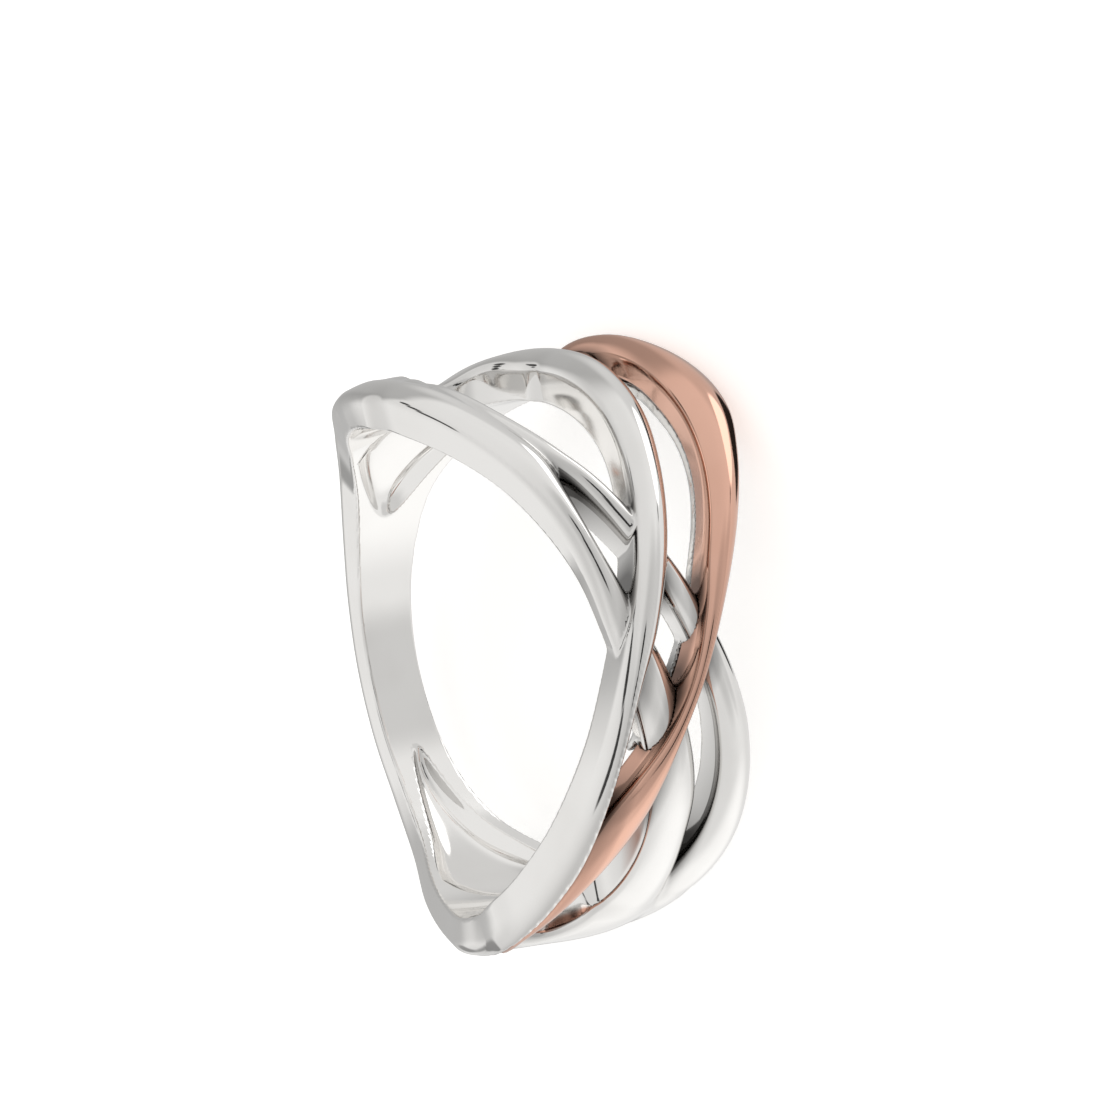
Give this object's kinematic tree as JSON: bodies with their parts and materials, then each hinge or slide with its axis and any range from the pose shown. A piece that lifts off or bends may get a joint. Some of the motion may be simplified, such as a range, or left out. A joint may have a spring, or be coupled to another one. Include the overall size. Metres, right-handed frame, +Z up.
{
  "type": "crossover ring",
  "caption": "Silver finger ring with crossing, domed open strands, one of them rose coloured, that merge at the shoulders into a narrow back band.",
  "frame": {"origin": "middle of the finger bore, on its axis", "axes": "the ring lies on its side as it rests by itself: +Z up, +X from the back band to the crossing, +Y to the shoulder that is upper in the picture; the finger axis leans 11 degrees from +Z"},
  "size_m": [0.0204, 0.0208, 0.0103],
  "materials": {
    "silver": "high polish, rhodium-white silver",
    "rose_gold": "high polish, rose gold colour"
  },
  "bodies": {
    "root": {"silver_casting": "silver", "rose_strand": "rose_gold"}
  },
  "joints": []
}
